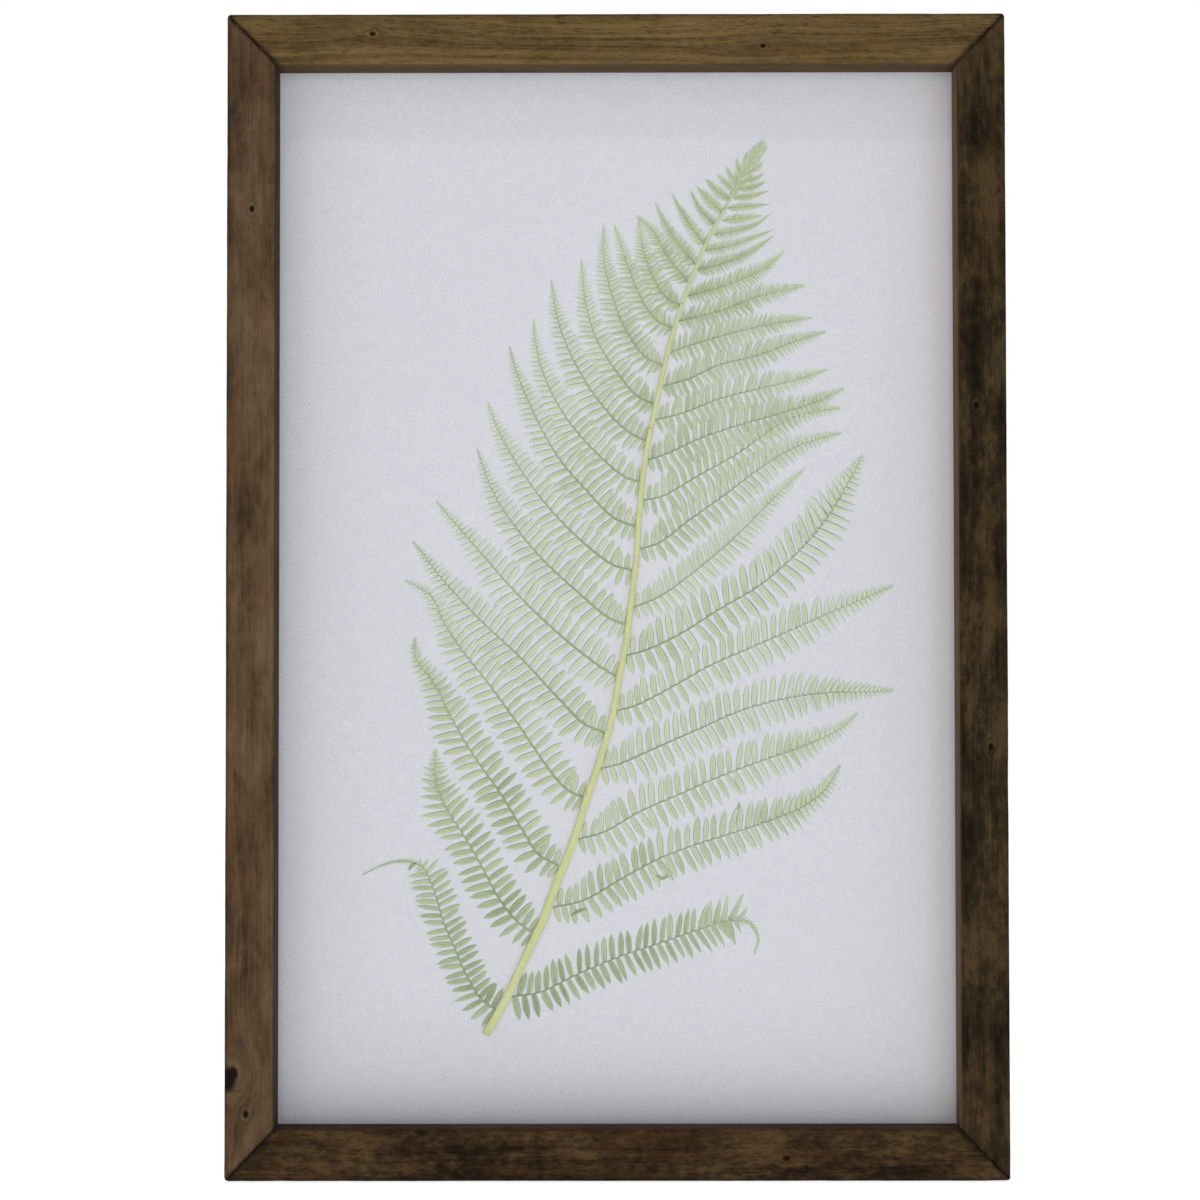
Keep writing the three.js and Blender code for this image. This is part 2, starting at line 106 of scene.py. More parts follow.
RIGHT_PINNAE = [
    (9.5, [(-42, -159), (-31, -157.5), (-15, -150), (2, -143), (17, -138), (33, -132.5), (46, -129),
           (53, -130.5), (56, -136), (54, -144)]),
    (10, [(-26, -124), (-13, -121), (2, -112.5), (17, -104.5), (33, -98.5), (49, -93.5), (65, -88),
          (74, -84), (82, -78), (90, -66)]),
    (10, [(-16, -97), (-5, -94), (9, -86), (25, -79), (41, -72), (57, -66), (73, -60.5), (88, -53.5),
          (97, -46)]),
    (10, [(-7, -69), (1, -67), (17, -60), (33, -53), (49, -46), (65, -41.5), (81, -39), (97, -38.5),
          (112, -38)]),
    (10, [(-1, -46), (7, -44), (21, -37), (37, -28), (53, -21), (69, -14), (85, -7), (99, -1), (112, 4.5)]),
    (11, [(3, -24), (11, -22), (25, -15.5), (41, -5.5), (57, 4), (70, 15), (81, 27), (89, 39), (99, 57)]),
    (8, [(6, -5), (17, -0.5), (33, 11), (49, 25), (63, 39), (76.5, 52)]),
    (9, [(9, 18.5), (17, 21), (29, 30), (43, 40), (57, 50.5), (69, 58), (81, 62.5), (91, 65)]),
    (9, [(10, 38), (18, 39.5), (33, 48), (49, 57), (63, 67), (73, 72), (91, 75)]),
    (8.5, [(12, 54), (20, 56.5), (33, 62.5), (49, 68), (65, 72.5), (79, 77), (92, 83)]),
    (8, [(15, 70), (27, 73), (41, 78.5), (57, 82.5), (73, 86.5), (85.5, 90.5)]),
    (7.5, [(18, 83.5), (29, 86.5), (41, 92), (57, 96), (73, 102), (84.5, 105.5)]),
    (7, [(21, 97), (33, 101), (49, 105.5), (65, 109), (79, 111)]),
    (6, [(24.5, 109.5), (41, 113.5), (57, 119.5), (76.5, 124)]),
    (5, [(28, 119.5), (41, 123), (54, 128), (61, 132), (67.5, 138)]),
    (4, [(32, 130), (42, 132.5), (53, 137), (63.5, 144)]),
    (3.2, [(35, 138), (46, 140), (56, 143.5), (63.5, 146.5)]),
    (2.6, [(38.5, 144.5), (49, 146), (56, 148.5), (62, 153)]),
]
TIP_BLADES = [
    (2.4, [(42.5, 150), (51, 151), (59, 152)]), (2, [(44.5, 155), (53, 155.7), (61.5, 156.5)]),
    (1.8, [(47, 159), (54.5, 160), (61.5, 162)]), (1.8, [(49, 162.5), (55, 163.5), (60.5, 166)]),
    (1.6, [(51, 166), (55.5, 166.7), (59.5, 169)]), (1.4, [(53, 170), (57, 171.5), (59, 174)]),
    (2.8, [(43, 153), (37.5, 158), (32, 164)]), (2.4, [(46, 158), (41, 161.5), (35.5, 167)]),
    (2, [(48, 161.5), (44, 165), (40, 169)]), (1.7, [(49.5, 165), (46, 168), (44, 172)]),
    (1.5, [(51.5, 168.5), (49, 171), (48.5, 175.5)]), (1.4, [(53.5, 171.5), (52, 174), (52.5, 178)]),
]


# Smooth lines through given points

def catmull_rom(points, steps=14):
    """Centripetal curve through points, as a dense list."""
    ends = [points[0] * 2 - points[1], *points, points[-1] * 2 - points[-2]]
    line = []
    for a, b, c, d in zip(ends, ends[1:], ends[2:], ends[3:]):
        knots = [0.0]
        for p, q in ((a, b), (b, c), (c, d)):
            knots.append(knots[-1] + max((q - p).length, 1e-9) ** 0.5)
        for i in range(steps):
            t = knots[1] + (knots[2] - knots[1]) * i / steps
            line.append(spline_point((a, b, c, d), knots, t))
    line.append(points[-1].copy())
    return line


def spline_point(p, k, t):
    """One point of a centripetal curve between its two middle points."""
    a1 = p[0].lerp(p[1], (t - k[0]) / (k[1] - k[0]))
    a2 = p[1].lerp(p[2], (t - k[1]) / (k[2] - k[1]))
    a3 = p[2].lerp(p[3], (t - k[2]) / (k[3] - k[2]))
    b1 = a1.lerp(a2, (t - k[0]) / (k[2] - k[0]))
    b2 = a2.lerp(a3, (t - k[1]) / (k[3] - k[1]))
    return b1.lerp(b2, (t - k[1]) / (k[2] - k[1]))


class Line:
    """A smooth line in the plane of the sheet, measured by arc length in metres."""

    def __init__(self, points_mm):
        self.points = catmull_rom([Vector((x * MM, z * MM)) for x, z in points_mm])
        self.at = [0.0]
        for a, b in zip(self.points, self.points[1:]):
            self.at.append(self.at[-1] + (b - a).length)
        self.length = self.at[-1]

    def place(self, distance):
        """Position and unit direction at a distance from the start."""
        distance = min(max(distance, 0.0), self.length)
        i = 0
        while i < len(self.at) - 2 and self.at[i + 1] < distance:
            i += 1
        a, b = self.points[i], self.points[i + 1]
        step = self.at[i + 1] - self.at[i]
        before = self.points[max(i - 1, 0)]
        after = self.points[min(i + 2, len(self.points) - 1)]
        share = (distance - self.at[i]) / step
        turn = (b - before).normalized().lerp((after - a).normalized(), share)
        return a.lerp(b, share), turn.normalized()


# Mesh making

def new_mesh(name, vertices, faces, smooth=True):
    mesh = bpy.data.meshes.new(name)
    mesh.from_pydata([tuple(v) for v in vertices], [], faces)
    mesh.validate()
    mesh.update()
    if smooth:
        mesh.shade_smooth()
    piece = bpy.data.objects.new(name, mesh)
    bpy.context.collection.objects.link(piece)
    return piece


def ring_faces(first, second, count):
    """Quads between two rings of count vertices that start at first and second."""
    return [
        (first + k, first + (k + 1) % count, second + (k + 1) % count, second + k)
        for k in range(count)
    ]


class LeafMesh:
    """Collects vertices, faces and two tone values per vertex for one leafy piece."""

    def __init__(self):
        self.vertices = []
        self.faces = []
        self.tones = []

    def ring(self, points, tone):
        start = len(self.vertices)
        self.vertices.extend(points)
        self.tones.extend([tone] * len(points) if isinstance(tone, tuple) else tone)
        return start

    def close(self, start, count, flip):
        face = tuple(range(start, start + count))
        self.faces.append(face if flip else face[::-1])

    def build(self, name, leaf_material):
        piece = new_mesh(name, self.vertices, self.faces)
        layer = piece.data.color_attributes.new("leaf_tone", "FLOAT_COLOR", "POINT")
        for i, (shade, vein, life) in enumerate(self.tones):
            layer.data[i].color = (shade, vein, life, 1.0)
        piece.data.materials.append(leaf_material)
        return piece


def sheet_point(flat, rise):
    """A point above the sheet: flat place in metres and height towards the viewer."""
    return Vector((flat.x, SHEET_Y - rise, flat.y))


# The frond

PINNULE_STATIONS = 11
PINNULE_THICKNESS = 0.08 * MM
WIDEST_PLACE = 0.42
PINNULE_TOOTH = 0.12
CROWN_SHARE = 0.06
MIDVEIN_TONE = 0.25
CENTRE_TONE = -0.05
# Paler pinnule margins and sides: partly the thin leaf's pale edge, partly painted light that offsets the
# shade along the edges.
EDGE_PALING = 0.40
TIP_PALING = 0.10
SPACING_BASE = 0.27
SPACING_PER_MM = 0.0125
FRINGE_SHARE = 0.24
FULL_WIDTH_PLACE = 0.12
JOINING_START = 0.60
SMALL_PINNA_MM = 5
FUSED_BELOW_MM = 8.8
LEAFY_SHARE = 0.985


def clamp(value, low=0.0, high=1.0):
    return min(high, max(low, value))


def pinna_reach(share, half, taper, sudden):
    """Half width of a pinna at a share of its length; a sudden one keeps only a fringe at its end."""
    widening = min(1.0, 0.62 + 0.38 * share / FULL_WIDTH_PLACE)
    past = clamp((share - taper) / (1 - taper))
    if sudden:
        fringe = FRINGE_SHARE * (1 - past)
        return half * max(0.05, fringe + (1 - FRINGE_SHARE) * max(0.0, 1 - past * 4.5))
    return half * widening * max(0.035, (1 - past) ** 0.86)


def pinnule_width(u, joined):
    """Relative width of a pinnule at share u of its length; joined ones are broad teeth."""
    swell = 0.7 + 0.3 * math.sin(math.pi / 2 * min(1.0, u / WIDEST_PLACE))
    past = max(0.0, (u - WIDEST_PLACE) / (1 - WIDEST_PLACE))
    separate = swell * (1 - past ** 2.6 * 0.9)
    tooth = 1.55 * max(0.03, 1 - u) ** 0.75
    return separate + (tooth - separate) * joined


def add_pinnule(leaf, foot, heading, bend, length, width, rise, tip_rise, look, joined):
    """One pinnule: a thin crowned blade with a sunk midvein and a finely toothed edge."""
    shade, life = look
    position = foot.copy()
    step = length / (PINNULE_STATIONS - 1)
    rings = []
    for i in range(PINNULE_STATIONS):
        u = i / (PINNULE_STATIONS - 1)
        angle = heading + bend * u
        ahead = Vector((math.cos(angle), math.sin(angle)))
        across = Vector((-ahead.y, ahead.x))
        tooth = 1.0 - PINNULE_TOOTH * (i % 2) * (1 - joined)
        half = 0.5 * width * pinnule_width(u, joined) * tooth
        level = rise + (tip_rise - rise) * u
        tone = shade + TIP_PALING * u
        points, tones = [], []
        for v, lift in ((-1, 0), (-0.5, 1.0), (0, 0.35), (0.5, 1.0), (1, 0)):
            points.append(sheet_point(position + across * half * v, level + CROWN_SHARE * half * lift))
            vein = MIDVEIN_TONE if v == 0 else 0.0
            tones.append((tone + CENTRE_TONE + EDGE_PALING * v * v, vein, life))
        for v in (0.5, -0.5):
            points.append(sheet_point(position + across * half * v, level - PINNULE_THICKNESS))
            tones.append((tone + EDGE_PALING, 0.0, life))
        start = leaf.ring(points, tones)
        if rings:
            leaf.faces.extend(ring_faces(rings[-1], start, len(points)))
        rings.append(start)
        position += ahead * step
    leaf.close(rings[0], len(points), True)
    leaf.close(rings[-1], len(points), False)


RIB_SIDES = 6
RIB_LEAST_RINGS = 6
RIB_STEP = 1.6 * MM
RIB_TAPER = 0.84
RIB_PALING = 0.22
RIB_FADE = 0.35


def add_midrib(leaf, line, start, end, radius, rise, tone, life, vein=1.0):
    """A tapering rounded rib along a line, pale at its foot and paler again towards its tip."""
    count = max(RIB_LEAST_RINGS, int((end - start) / RIB_STEP))
    previous = None
    for i in range(count + 1):
        share = i / count
        place, ahead = line.place(start + (end - start) * share)
        across = Vector((-ahead.y, ahead.x))
        width = radius * (1 - RIB_TAPER * share)
        points = []
        for k in range(RIB_SIDES):
            angle = 2 * math.pi * k / RIB_SIDES
            side = place + across * width * math.cos(angle)
            points.append(sheet_point(side, rise + width * math.sin(angle)))
        strength = vein * (1 - RIB_FADE * share) * min(1.0, 0.3 + 5 * share)
        ring = leaf.ring(points, (tone + RIB_PALING * share, strength, life))
        if previous is None:
            leaf.close(ring, RIB_SIDES, True)
        else:
            leaf.faces.extend(ring_faces(previous, ring, RIB_SIDES))
        previous = ring
    leaf.close(previous, RIB_SIDES, False)


def add_pinna(leaf, half_mm, points_mm, side, rise, style, rng, start_gap=0.0):
    """Midrib and pinnules of one pinna. side is -1 on the left of the frond and 1 on the right."""
    line = Line(points_mm)
    half = half_mm * MM
    spacing = half * (SPACING_BASE + SPACING_PER_MM * half_mm)
    taper = style["taper"] * (0.45 if half_mm < SMALL_PINNA_MM else 1.0)
    fused = clamp((FUSED_BELOW_MM - half_mm) / 3.6, high=0.85)
    life = rng.uniform(0.35, 0.65)
    distance = start_gap + spacing * 0.4
    while distance < line.length * LEAFY_SHARE:
        share = distance / line.length
        reach = pinna_reach(share, half, taper, style["sudden"])
        local = spacing * (0.26 + 0.74 * min(1.0, reach / half) ** 0.8) * (1.04 - 0.26 * share)
        joined = max(fused, clamp((share - JOINING_START) / 0.25))
        place, ahead = line.place(distance)
        base_angle = math.atan2(ahead.y, ahead.x)
        for flank in (-1, 1):
            lean = style["lean_upper"] if flank * side > 0 else style["lean_lower"]
            lean -= 24 * share ** 2.4 + 16 * fused
            open_angle = math.radians(lean + rng.uniform(-5, 5))
            heading = base_angle + flank * open_angle
            bend = -flank * math.radians(rng.uniform(-5, 11))
            length = reach / max(math.sin(open_angle), 0.55) * rng.uniform(0.9, 1.06)
            width = local * style["width"] * rng.uniform(0.9, 1.12)
            foot = place + ahead * local * 0.22 * flank * side
            fade = style["fade"] * share ** 1.5 + 0.12 * share ** 6
            shade = style["shade"] + fade + rng.uniform(-0.08, 0.08)
            tip_rise = rise + rng.uniform(-0.01, 0.05) * MM
            look = (shade, life)
            add_pinnule(leaf, foot, heading, bend, length, width, rise, tip_rise, look, joined)
        distance += local
    radius = style["rib"] * MM * (0.45 + 0.055 * half_mm)
    rib_tone = style["rib_tone"] + (style["shade"] - 0.12 - style["rib_tone"]) * fused
    rib_end = line.length * LEAFY_SHARE
    add_midrib(leaf, line, start_gap, rib_end, radius, rise + 0.04 * MM, rib_tone, life, 1 - fused)


LEFT_STYLE = {"lean_upper": 88, "lean_lower": 80, "width": 0.69, "fade": 0.26,
              "rib": 0.46, "rib_tone": 0.14}
RIGHT_STYLE = {"lean_upper": 73, "lean_lower": 88, "width": 0.69, "fade": 0.16,
               "rib": 0.28, "rib_tone": -0.12}
TIP_STYLE = {"lean_upper": 56, "lean_lower": 56, "width": 0.74, "shade": 0.26, "fade": 0.06,
             "taper": 0.7, "sudden": False, "rib": 0.3, "rib_tone": 0.15}

# How pale each pinna is, from the lowest up
LEFT_SHADES = [
    0.08, 0.10, 0.18, 0.32, 0.38, 0.40, 0.40, 0.38, 0.36, 0.34, 0.32, 0.30, 0.28, 0.26, 0.24, 0.22,
    0.20, 0.20, 0.20,
]
RIGHT_SHADES = [
    0.08, 0.26, 0.36, 0.42, 0.40, 0.38, 0.42, 0.34, 0.28, 0.26, 0.28, 0.28, 0.26, 0.24, 0.22, 0.20,
    0.20, 0.20,
]
# Share of each pinna's length where it starts to narrow, from the lowest up
LEFT_TAPERS = [0.66, 0.70, 0.62, 0.56, 0.52, 0.50, 0.48, 0.46, 0.44] + [0.42] * 10
RIGHT_TAPERS = [0.80, 0.66, 0.64, 0.62, 0.62, 0.72, 0.52, 0.54, 0.56, 0.56] + [0.50] * 8
# Pinnae whose outer end has lost all but a fringe
FRINGED = ("pinna_left_01", "pinna_right_01")
# Curled dry pinnules lying on a pinna: x, z, heading in degrees, length and width in mm, bend in degrees
CURLED = {
    "pinna_right_02": [(-18, -127, 35, 7.0, 1.3, -30), (16, -111, -60, 6.0, 1.1, 150)],
    "pinna_right_03": [(48, -85, 60, 3.0, 0.8, 40)],
    "pinna_left_01": [(-80, -106.5, 200, 4.0, 1.2, 60)],
}
DRY_LOOK = (-0.1, 0.5)

STALK_SIDES = 20
STALK_RINGS = 260
STALK_LIFT = 0.1 * MM
GROOVE_DEPTH = 0.30
GROOVE_WIDTH = 0.22
PRESSED_SHARE = 0.13


def stalk_half_width(share):
    place = share * (len(STALK_HALF_WIDTHS) - 1)
    i = min(len(STALK_HALF_WIDTHS) - 2, int(place))
    before, after = STALK_HALF_WIDTHS[i:i + 2]
    return (before + (after - before) * (place - i)) * MM


def make_rachis(stalk_material):
    """The main stalk: oval, grooved along its front, slightly swollen where pinnae leave it."""
    line = Line(STALK_LINE)
    end = STALK_END * line.length
    joints = [nearest_distance(line, points[0]) for _, points in LEFT_PINNAE + RIGHT_PINNAE]
    vertices, faces = [], []
    middle = STALK_LIFT + STALK_THICKNESS / 2
    for i in range(STALK_RINGS + 1):
        distance = end * i / STALK_RINGS
        place, ahead = line.place(distance)
        across = Vector((-ahead.y, ahead.x))
        half = stalk_half_width(distance / line.length) * 0.97
        swell = sum(math.exp(-((distance - joint) / (1.6 * MM)) ** 2) for joint in joints)
        wobble = noise.noise(Vector((distance * 180, 0, 7.3))) * 0.06
        wide = half * (0.93 + 0.07 * min(swell, 1.0) + wobble * 0.3)
        deep = min(STALK_THICKNESS / 2, half * 0.55)
        for k in range(STALK_SIDES):
            angle = 2 * math.pi * k / STALK_SIDES
            sideways, front = math.cos(angle), math.sin(angle)
            groove = GROOVE_DEPTH * math.exp(-(sideways / GROOVE_WIDTH) ** 2) if front > 0 else 0.0
            rise = middle + deep * front * (1 - groove)
            vertices.append(sheet_point(place + across * wide * sideways, rise))
        if i:
            faces.extend(ring_faces((i - 1) * STALK_SIDES, i * STALK_SIDES, STALK_SIDES))
    faces.append(tuple(range(STALK_SIDES)))
    last = STALK_RINGS * STALK_SIDES
    faces.append(tuple(range(last, last + STALK_SIDES))[::-1])
    piece = new_mesh("fern_rachis", vertices, faces)
    piece.data.materials.append(stalk_material)
    finish_piece(piece, "fern_stalk", "rachis")


def nearest_distance(line, point_mm):
    target = Vector((point_mm[0] * MM, point_mm[1] * MM))
    return min(zip(line.at, line.points), key=lambda pair: (pair[1] - target).length)[0]


def finish_piece(piece, slot_name, *nodes):
    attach(piece, BODY)
    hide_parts(*nodes)


def blade_rise(node):
    """Height of a pinna over the sheet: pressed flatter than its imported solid, in the same order."""
    low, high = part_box(node)
    return (SHEET_Y - (low.y + high.y) / 2) * PRESSED_SHARE


def make_pinnae(label, side, pinnae, style, shades, tapers, leaf_material):
    for i, (half, points) in enumerate(pinnae):
        rng = random.Random(f"{label}{i}")
        node = f"pinna_{label}_{i + 1:02d}"
        own_style = {**style, "shade": shades[i], "taper": tapers[i], "sudden": node in FRINGED}
        rise = blade_rise(node)
        leaf = LeafMesh()
        add_pinna(leaf, half, points, side, rise, own_style, rng, 0.8 * MM)
        for x, z, heading, length, width, bend in CURLED.get(node, []):
            add_pinnule(leaf, Vector((x, z)) * MM, math.radians(heading), math.radians(bend), length * MM,
                        width * MM, rise + 0.25 * MM, rise + 0.3 * MM, DRY_LOOK, 0.0)
        finish_piece(leaf.build(f"fern_{node}", leaf_material), "fern_leaf", node)


def make_tip(leaf_material):
    """The tip cluster: small side blades, the end of the rachis and the terminal blade."""
    rng = random.Random("tip")
    leaf = LeafMesh()
    rise = blade_rise("frond_tip")
    for half, points in TIP_BLADES:
        side = 1 if points[-1][0] > points[0][0] else -1
        add_pinna(leaf, half, points, side, rise, TIP_STYLE, rng)
    terminal = {**TIP_STYLE, "lean_upper": 50, "lean_lower": 50, "width": 1.0, "taper": 1.7}
    add_pinna(leaf, 3.3, STALK_LINE[-4:], 1, rise + 0.08 * MM, terminal, rng)
    stalk = Line(STALK_LINE)
    add_midrib(leaf, stalk, STALK_END * stalk.length, stalk.length, 0.5 * MM, rise + 0.2 * MM,
               tone=0.42, life=0.95, vein=0.0)
    finish_piece(leaf.build("fern_frond_tip", leaf_material), "fern_leaf", "frond_tip")


# Materials

class Nodes:
    """Short forms for building a material's node tree."""

    def __init__(self, name, **settings):
        self.material = bpy.data.materials.new(name)
        self.material.use_nodes = True
        self.tree = self.material.node_tree
        self.shader = self.tree.nodes["Principled BSDF"]
        for socket, value in settings.items():
            self.shader.inputs[socket.replace("_", " ")].default_value = value

    def link(self, source, target):
        self.tree.links.new(source, target)

    def add(self, kind, **inputs):
        node = self.tree.nodes.new(kind)
        for name, value in inputs.items():
            self.put(node.inputs[name.replace("_", " ")], value)
        return node

    def put(self, socket, value):
        if isinstance(value, bpy.types.NodeSocket):
            self.link(value, socket)
        else:
            socket.default_value = value

    def math(self, operation, a, b=0.0):
        node = self.tree.nodes.new("ShaderNodeMath")
        node.operation = operation
        self.put(node.inputs[0], a)
        self.put(node.inputs[1], b)
        return node.outputs[0]

    def add_all(self, *values):
        total = values[0]
        for value in values[1:]:
            total = self.math("ADD", total, value)
        return total

    def swing(self, value, share):
        """A noise value's swing about its middle, times a share."""
        return self.math("MULTIPLY", self.math("SUBTRACT", value, 0.5), share)

    def object_place(self):
        return self.tree.nodes.new("ShaderNodeTexCoord").outputs["Object"]

    def split(self, vector):
        node = self.add("ShaderNodeSeparateXYZ", Vector=vector)
        return node.outputs[0], node.outputs[1], node.outputs[2]

    def join(self, x, y, z):
        return self.add("ShaderNodeCombineXYZ", X=x, Y=y, Z=z).outputs[0]

    def scaled(self, vector, scale, shift=(0, 0, 0)):
        node = self.add("ShaderNodeMapping", Vector=vector, Scale=scale, Location=shift)
        return node.outputs[0]

    def noise(self, vector, scale=1.0, detail=3.0, roughness=0.55, distortion=0.0):
        node = self.add("ShaderNodeTexNoise", Vector=vector, Scale=scale, Detail=detail,
                        Roughness=roughness, Distortion=distortion)
        return node.outputs["Fac"]

    def ramp(self, value, *stops):
        node = self.add("ShaderNodeValToRGB", Fac=value)
        elements = node.color_ramp.elements
        while len(elements) < len(stops):
            elements.new(0.5)
        for element, (position, level) in zip(elements, stops):
            element.position = position
            colour = level if isinstance(level, tuple) else (level,) * 3
            element.color = (*colour, 1.0)
        return node.outputs[0]

    def mix(self, share, a, b):
        node = self.tree.nodes.new("ShaderNodeMix")
        node.data_type = "RGBA"
        self.put(node.inputs[0], share)
        for socket, value in ((node.inputs[6], a), (node.inputs[7], b)):
            self.put(socket, (*value, 1.0) if isinstance(value, tuple) and len(value) == 3 else value)
        return node.outputs[2]

    def bump(self, height, strength, distance):
        node = self.add("ShaderNodeBump", Height=height, Strength=strength, Distance=distance)
        self.link(node.outputs[0], self.shader.inputs["Normal"])

    def colour(self, value):
        self.link(value, self.shader.inputs["Base Color"])

    def roughness(self, value):
        self.link(value, self.shader.inputs["Roughness"])


def srgb(red, green, blue):
    """Linear colour from 0 to 255 display values."""
    return tuple(
        (c / 255 / 12.92) if c <= 10 else ((c / 255 + 0.055) / 1.055) ** 2.4
        for c in (red, green, blue)
    )


def leaf_look():
    """Dried leaf: green to pale by the piece's own shade, yellower with life, olive on its ribs."""
    n = Nodes("fern_leaf", Roughness=0.78)
    tone = n.add("ShaderNodeVertexColor")
    tone.layer_name = "leaf_tone"
    parts = n.add("ShaderNodeSeparateColor", Color=tone.outputs["Color"])
    shade, vein, life = parts.outputs[0], parts.outputs[1], parts.outputs[2]
    place = n.object_place()
    cloud = n.noise(place, scale=60, detail=1)
    speck = n.noise(place, scale=900, detail=1, roughness=0.7)
    level = n.add_all(shade, n.swing(cloud, 0.35), n.swing(speck, 0.22))
    green = n.ramp(level, (0.0, srgb(144, 159, 123)), (0.3, srgb(190, 204, 168)),
                   (0.55, srgb(218, 225, 200)), (0.8, srgb(228, 232, 218)), (1.0, srgb(233, 234, 232)))
    ripe = n.mix(n.math("MULTIPLY", life, 0.16), green, srgb(203, 207, 149))
    n.colour(n.mix(n.math("MULTIPLY", vein, 0.62), ripe, srgb(150, 168, 108)))
    n.bump(speck, 0.25, 0.0002)
    return n.material


def stalk_look():
    """Dull yellow-green stalk with fine streaks and brown specks, greener towards the tip."""
    n = Nodes("fern_stalk", Roughness=0.62)
    place = n.object_place()
    streak = n.noise(n.scaled(place, (2200, 600, 260)), detail=3)
    cloud = n.noise(place, scale=35, detail=2)
    base = n.ramp(cloud, (0.3, srgb(214, 217, 150)), (0.7, srgb(225, 228, 175)))
    dark = n.mix(n.ramp(streak, (0.45, 0.0), (0.75, 1.0)), base, srgb(205, 208, 138))
    height = n.split(place)[2]
    upper = n.ramp(n.math("MULTIPLY", height, 5.0), (0.35, 0.0), (0.8, 0.7))
    dark = n.mix(upper, dark, srgb(203, 215, 159))
    speck = n.noise(place, scale=700, detail=2)
    n.colour(n.mix(n.ramp(speck, (0.68, 0.0), (0.74, 1.0)), dark, srgb(128, 104, 56)))
    n.bump(streak, 0.3, 0.0002)
    return n.material


THREAD_WAVE = 5200.0


def sheet_look():
    """Pale lavender-grey sheet with a fine woven grain, faint clouds and a painted rosy bounce light along
    its right edge.
    """
    n = Nodes("pale_sheet", Roughness=0.88)
    place = n.object_place()
    x, _, z = n.split(place)
    grain = n.noise(place, scale=1900, detail=1, roughness=0.7)
    wobble = n.swing(grain, 0.8 * MM)
    thread_x = n.math("SINE", n.math("MULTIPLY", n.math("ADD", x, wobble), THREAD_WAVE))
    thread_z = n.math("SINE", n.math("MULTIPLY", n.math("ADD", z, wobble), THREAD_WAVE))
    weave = n.math("MULTIPLY", thread_x, thread_z)
    mottle = n.noise(place, scale=240, detail=1, roughness=0.6)
    cloud = n.noise(place, scale=14, detail=1)
    level = n.add_all(n.math("MULTIPLY", grain, 0.85), n.math("MULTIPLY", mottle, 0.15),
                      n.math("MULTIPLY", weave, 0.02))
    paper = n.ramp(level, (0.36, srgb(223, 221, 231)), (0.5, srgb(230, 228, 237)),
                   (0.64, srgb(237, 235, 243)))
    clouded = n.mix(n.ramp(cloud, (0.35, 0.0), (0.7, 0.35)), paper, srgb(226, 225, 234))
    # Painted light: a rosy glow near the right stile, standing in for light bounced off the wood.
    painted_bounce_light = n.ramp(n.math("DIVIDE", x, HALF_WIDTH), (0.72, 0.0), (0.88, 0.7))
    n.colour(n.mix(painted_bounce_light, clouded, srgb(240, 228, 234)))
    return n.material


def glass_look():
    """Clear pane that lets lamps through, so that the sheet is lit as it would be."""
    n = Nodes("clear_glass", Base_Color=(0.98, 0.995, 0.985, 1.0), Roughness=0.0, IOR=1.2,
              Transmission_Weight=1.0)
    clear = n.add("ShaderNodeBsdfTransparent", Color=(0.97, 0.98, 0.975, 1.0))
    path = n.tree.nodes.new("ShaderNodeLightPath")
    surface = n.shader.outputs[0]
    for rays in ("Is Diffuse Ray", "Is Shadow Ray"):
        mixed = n.add("ShaderNodeMixShader", Fac=path.outputs[rays])
        n.link(surface, mixed.inputs[1])
        n.link(clear.outputs[0], mixed.inputs[2])
        surface = mixed.outputs[0]
    n.link(surface, n.tree.nodes["Material Output"].inputs["Surface"])
    return n.material


def steel_look():
    """Zinc-plated steel, brushed lengthwise."""
    n = Nodes("bright_steel", Metallic=1.0, Roughness=0.34)
    place = n.object_place()
    brushed = n.noise(n.scaled(place, (90, 1500, 1500)), detail=3)
    n.colour(n.ramp(brushed, (0.3, srgb(168, 170, 172)), (0.7, srgb(205, 206, 208))))
    n.roughness(n.ramp(n.noise(place, scale=220), (0.3, 0.26), (0.7, 0.46)))
    n.bump(brushed, 0.15, 0.0002)
    return n.material


def board_look():
    """Brown hardboard with pressed fibres."""
    n = Nodes("hardboard", Roughness=0.82)
    place = n.object_place()
    fibre = n.noise(place, scale=420, detail=5, roughness=0.72, distortion=1.5)
    cloud = n.noise(place, scale=22, detail=3)
    tan = n.ramp(fibre, (0.3, srgb(98, 68, 43)), (0.55, srgb(128, 93, 62)), (0.75, srgb(152, 116, 82)))
    n.colour(n.mix(n.ramp(cloud, (0.35, 0.0), (0.75, 0.4)), tan, srgb(110, 77, 50)))
    n.bump(fibre, 0.4, 0.0003)
    return n.material


def felt_look():
    """Dark fuzzy felt."""
    n = Nodes("felt", Roughness=0.95, Sheen_Weight=0.4, Sheen_Roughness=0.5)
    place = n.object_place()
    fuzz = n.noise(place, scale=1600, detail=4, roughness=0.8, distortion=2.0)
    n.colour(n.ramp(fuzz, (0.3, srgb(38, 35, 31)), (0.7, srgb(74, 69, 62))))
    n.bump(fuzz, 0.7, 0.0004)
    return n.material
